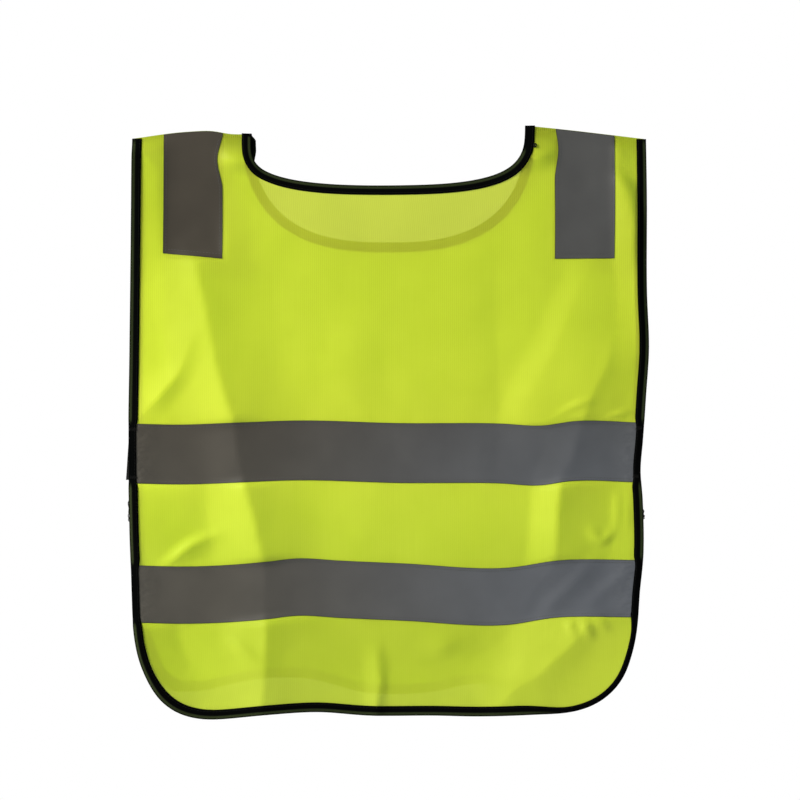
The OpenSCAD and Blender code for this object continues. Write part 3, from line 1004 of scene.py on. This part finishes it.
def cross_tape(side, place, middle):
    """A tape across a panel, its ends under the binding."""
    name = f"{side}_{place}_tape"
    rows = middle + TAPE_W * (with_rims(18, TAPE_RIM / TAPE_W) - 0.5)
    reach = half_width_at(side, rows) - 0.8
    share = np.linspace(-1, 1, 141)
    shape = Shape()
    patch(shape, side, reach[:, None] * share, rows[:, None] + 0 * share, TAPE_IN, TAPE_OUT)
    return placed(shape.piece(name + "_film", TAPE), side, name)


def shoulder_tape_x(side, hand, s, share):
    """Places across a shoulder tape, share running from 0 at its outer edge to 1 at its inner.

    On the back, the inner edge waves in once.
    """
    outer = hand * (SHOULDER_TAPE_X + TAPE_W / 2)
    depth, middle = (4.6, 27.0) if hand < 0 else (3.0, 20.0)
    wave = (side == BACK) * depth * bell((s - middle) / 26)
    inner = hand * (SHOULDER_TAPE_X - TAPE_W / 2 + wave)
    return outer + (inner - outer) * share


def shoulder_tape(side, hand):
    """A tape that hangs from the shoulder seam, cut at a slant on the back's left."""
    name = f"{side}_{hand_name(hand)}_shoulder_tape"
    share = with_rims(18, TAPE_RIM / TAPE_W)
    row = with_rims(38, TAPE_RIM / SHOULDER_TAPE_END)[:, None]
    slant = 4.6 if (hand < 0 and side == BACK) else 0.4
    top = shoulder_s(SHOULDER_TAPE_X + TAPE_W / 2 - TAPE_W * share) + 0.3
    end = SHOULDER_TAPE_END + 1.8 - slant * (1 - share)
    s = top + (end - top) * row
    shape = Shape()
    patch(shape, side, shoulder_tape_x(side, hand, s, share), s, TAPE_IN, TAPE_OUT)
    return placed(shape.piece(name + "_film", TAPE), side, name)


def make_tape_thread(side):
    """Two rows of stitches along each tape, and one across each shoulder tape's lower end."""
    shape = Shape()
    reach_in = TAPE_W / 2 - TAPE_INSET
    for middle in (UPPER_TAPE, LOWER_TAPE):
        for s in (middle - reach_in, middle + reach_in):
            reach = float(half_width_at(side, s)) - BINDING_W - 1.5
            stitch_row(shape, side, [(-reach, s), (reach, s)], *TAPE_STITCH, TAPE_OUT)
    for hand in (-1, 1):
        for share in (TAPE_INSET / TAPE_W, 1 - TAPE_INSET / TAPE_W):
            s = np.linspace(SHOULDER_DROP, SHOULDER_TAPE_END - 5.5, 60)
            x = shoulder_tape_x(side, hand, s, share)
            stitch_row(shape, side, np.column_stack([x, s]), *TAPE_STITCH, TAPE_OUT)
        slant = 4.0 if (hand < 0 and side == BACK) else 0.0
        ends = [
            (hand * (SHOULDER_TAPE_X + reach_in), SHOULDER_TAPE_END - TAPE_INSET - slant),
            (hand * (SHOULDER_TAPE_X - reach_in), SHOULDER_TAPE_END - TAPE_INSET),
        ]
        stitch_row(shape, side, ends, *TAPE_STITCH, TAPE_OUT)
    piece = shape.piece(side + "_tape_stitches", GREY_THREAD)
    return placed(piece, side, side + "_tape_thread")


def make_binding_thread(side):
    """One row of stitches on each face of each binding."""
    row = BINDING_W - 1.6
    shape = Shape()
    for path, spacing in ((edge_path(side, 2.0), 2.7), (neck_path(side, 2.0), 2.5)):
        line = (path + inward_of_edge(path) * row * tightness(side, path))[1:-1]
        stitch_row(shape, side, line, spacing, 2.0, BIND_THICK, over_tapes=True)
        stitch_row(shape, side, line, spacing, 2.0, -BIND_THICK)
    if side == BACK:
        add_loose_thread(shape)
    piece = shape.piece(side + "_binding_stitches", BLACK_THREAD)
    return placed(piece, side, side + "_binding_thread")


def add_loose_thread(shape):
    """Loose ends at the sides between the tapes, and a knot at the right neck point."""
    t = np.linspace(0, 1, 16)
    ends = [(1, 322, 8, 1.2), (1, 327, 4, 1.7), (-1, 313, 13, 1.1), (-1, 324, 7, 1.6)]
    for hand, top, length, out in ends:
        x = hand * (HALF_W - 0.6 + out * np.sin(np.pi * t) + 0.5 * np.sin(9 * t))
        tube(shape, BACK, np.column_stack([x, top + length * t, 0.6 + 0.8 * np.sin(4 * t)]), 0.42)
    turn = np.linspace(0, 5.2 * np.pi, 44)
    coil = 0.5 + 0.9 * np.sin(turn * 0.33) ** 2
    x = NECK_HALF + 7.8 + coil * np.cos(turn)
    s = 17 + 1.2 * coil * np.sin(turn)
    tube(shape, BACK, np.column_stack([x, s, 1.3 + 0.3 * np.sin(turn * 0.7)]), 0.38)


def make_tacks(side):
    """Bar tacks through the binding at the corners of each elastic end."""
    shape = Shape()
    for hand in (-1, 1):
        for s in (ELASTIC_TOP + 2, ELASTIC_END - 2):
            middle = hand * (float(half_width_at(side, s)) - BINDING_W / 2)
            steps = np.arange(-2.6, 2.7, 0.5)
            zigzag = [(middle + k, s + 0.7 * (-1) ** n) for n, k in enumerate(steps)]
            for a, b in zip(zigzag, zigzag[1:]):
                stitch_row(shape, side, [a, b], 1.0, 1.5, BIND_THICK + 0.1, over_tapes=True)
    piece = shape.piece(side + "_bar_tacks", BLACK_THREAD)
    return placed(piece, side, side + "_elastic_tacks")


def elastic_skin(hand, t, rows, outer_ends, offset):
    """One face of a side elastic, offset from its middle: a row of points at each depth."""
    inside_panel = -BIND_THICK - ELASTIC_HALF_T - 0.15
    share = smooth((t - 0.40) / 0.20)[:, None]
    skin = []
    for s, outer_end in zip(rows, outer_ends):
        x = hand * (outer_end - ELASTIC_FOLD * np.sin(np.pi * t) ** 0.8)
        back, front = (hang(side, x, s, inside_panel) for side in (BACK, FRONT))
        middle = back * (1 - share) + front * share
        normal = np.cross(np.gradient(middle, axis=0), [0, 0, 1.0])
        normal /= np.linalg.norm(normal, axis=1)[:, None]
        skin.append(middle + normal * offset * MM)
    return np.array(skin)


def make_elastic(hand):
    """A side elastic: sewn inside each panel's edge, with its spare length folded inward."""
    rows = np.linspace(ELASTIC_TOP, ELASTIC_END, 16)
    t = np.linspace(0, 1, 61)
    share_down = np.linspace(0, 1, len(rows))
    # The left one leans out past the panels toward its lower end, and the right one stays in.
    outer_ends = HALF_W + (3.3 * share_down - 1.1 if hand < 0 else 0.0 * share_down - 1.5)
    skins = [
        elastic_skin(hand, t, rows, outer_ends, offset)
        for offset in (-ELASTIC_HALF_T, ELASTIC_HALF_T)
    ]
    along = t * (2 * ELASTIC_FOLD + 4)
    flat = np.stack(np.broadcast_arrays(along, rows[:, None]), axis=-1)
    shape = Shape()
    shape.add(np.stack(skins), slab_faces(len(rows), len(t)), np.stack([flat, flat]))
    piece = shape.piece(hand_name(hand) + "_elastic_strap", ELASTIC)
    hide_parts(hand_name(hand) + "_side_elastic")
    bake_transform(piece)
    return piece


def make_shoulder_seam(hand):
    """The trimmed seam allowance that lies inside a shoulder."""
    x = hand * np.linspace(NECK_HALF + BINDING_W + 1, TIP_X - BINDING_W - 1, 30)
    down = np.linspace(0.6, 9.0, 6)[:, None]
    shape = Shape()
    patch(shape, BACK, x + 0 * down, shoulder_s(x) + down, -0.75, -0.35)
    piece = shape.piece(hand_name(hand) + "_shoulder_allowance", SEAM_KNIT)
    return placed(piece, BACK, hand_name(hand) + "_shoulder_seam")


def make_seam_thread():
    """Overlock stitches along both shoulder allowances."""
    shape = Shape()
    level = -0.76
    for hand in (-1, 1):
        x = np.arange(NECK_HALF + BINDING_W + 2, TIP_X - BINDING_W - 2, 1.3)
        needle = [(hand * end, shoulder_s(end) + 2.2) for end in (x[0], TIP_X - BINDING_W - 2)]
        stitch_row(shape, BACK, needle, 2.2, 1.9, level)
        zigzag = np.column_stack([hand * x, shoulder_s(x) + np.resize([8.8, 4.2], len(x))])
        for a, b in zip(zigzag, zigzag[1:]):
            stitch_row(shape, BACK, [a, b], 2.4, 2.3, level)
    piece = shape.piece("shoulder_overlock_stitches", YELLOW_THREAD)
    return placed(piece, BACK, "shoulder_seam_thread")


def panel_area(side):
    """Flat area of a panel in square metres."""
    x, s = panel_outline(side).T
    return abs(np.sum(x * np.roll(s, -1) - s * np.roll(x, -1))) / 2 * MM * MM


def make_side(side):
    """A panel of knit, with everything that is sewn to it."""
    panel = cloth_mesh(side, side + "_panel_knit", KNIT_CLOTH)
    placed(panel, side, side + "_panel")
    trims = [make_binding(side, "edge", edge_path(side, 2.5))]
    trims.append(make_binding(side, "neck", neck_path(side, 2.0)))
    trims.append(cross_tape(side, "upper", UPPER_TAPE))
    trims.append(cross_tape(side, "lower", LOWER_TAPE))
    trims += [shoulder_tape(side, hand) for hand in (-1, 1)]
    trims.append(make_tape_thread(side))
    trims.append(make_binding_thread(side))
    trims.append(make_tacks(side))
    panel_area(side)


# ---------------------------------------------------------------- camera, light and floor


VEST_MIDDLE = Vector((0.0, 0.0, -0.25))


def add_area_light(name, place, size, power, colour):
    """A square area light at a place, turned to the middle of the vest."""
    light = bpy.data.lights.new(name, "AREA")
    light.shape = "SQUARE"
    light.size = size
    light.energy = power
    light.color = colour
    lamp = bpy.data.objects.new(name, light)
    lamp.location = place
    lamp.rotation_euler = (VEST_MIDDLE - Vector(place)).to_track_quat("-Z", "Y").to_euler()
    bpy.context.scene.collection.objects.link(lamp)


def make_camera():
    """The photographing camera, level and square to the back."""
    camera = bpy.data.cameras.new("camera")
    camera.sensor_width = 36.0
    distance = 3.0
    seen_width = 0.672
    camera.lens = camera.sensor_width * distance / seen_width
    camera.clip_end = 50.0
    holder = bpy.data.objects.new("camera", camera)
    holder.location = (0.0101, -distance, -0.2298)
    holder.rotation_euler = (math.radians(90), 0, 0)
    bpy.context.scene.collection.objects.link(holder)
    bpy.context.scene.camera = holder


def make_floor():
    """A plain pale round floor well below the vest."""
    radius, level, corners = 2.5, -1.0, 96
    turn = np.linspace(0, 2 * np.pi, corners, endpoint=False)
    circle = [radius * np.cos(turn), radius * np.sin(turn), np.full(corners, level)]
    mesh = bpy.data.meshes.new("floor")
    mesh.from_pydata(np.column_stack(circle).tolist(), [], [tuple(range(corners))])
    mesh.materials.append(floor_material())
    floor = bpy.data.objects.new("floor", mesh)
    bpy.context.scene.collection.objects.link(floor)


def make_world():
    """White to the eye, softer where it is seen through the cloth, and softer still as light."""
    world = bpy.data.worlds.new("studio")
    world.use_nodes = True
    tree = world.node_tree
    tree.nodes.clear()
    white = (1.0, 1.0, 1.0, 1.0)
    seen, behind, light = (
        result(tree, "ShaderNodeBackground", {"Color": white, "Strength": strength})
        for strength in (1.0, 0.36, 0.17)
    )
    ray = node(tree, "ShaderNodeLightPath").outputs
    veiled = maths(tree, "GREATER_THAN", ray["Transparent Depth"], 0.5)
    seen = result(tree, "ShaderNodeMixShader", {0: veiled, 1: seen, 2: behind})
    both = result(tree, "ShaderNodeMixShader", {0: ray["Is Camera Ray"], 1: light, 2: seen})
    node(tree, "ShaderNodeOutputWorld", {0: both})
    bpy.context.scene.world = world


make_camera()
make_world()
make_floor()
add_area_light("key", (-2.95, -1.45, 1.4), 0.8, 314.0, (1.0, 0.98, 0.91))
add_area_light("fill", (1.8, -1.9, 0.3), 1.4, 15.0, (0.74, 0.89, 1.0))
add_area_light("back_fill", (0.4, 2.2, 0.4), 1.6, 22.0, (1.0, 1.0, 1.0))
bpy.context.scene.view_settings.view_transform = "Standard"

for each_hand in (-1, 1):
    make_shoulder_seam(each_hand)
make_seam_thread()
for each_side in (BACK, FRONT):
    make_side(each_side)
for each_hand in (-1, 1):
    make_elastic(each_hand)
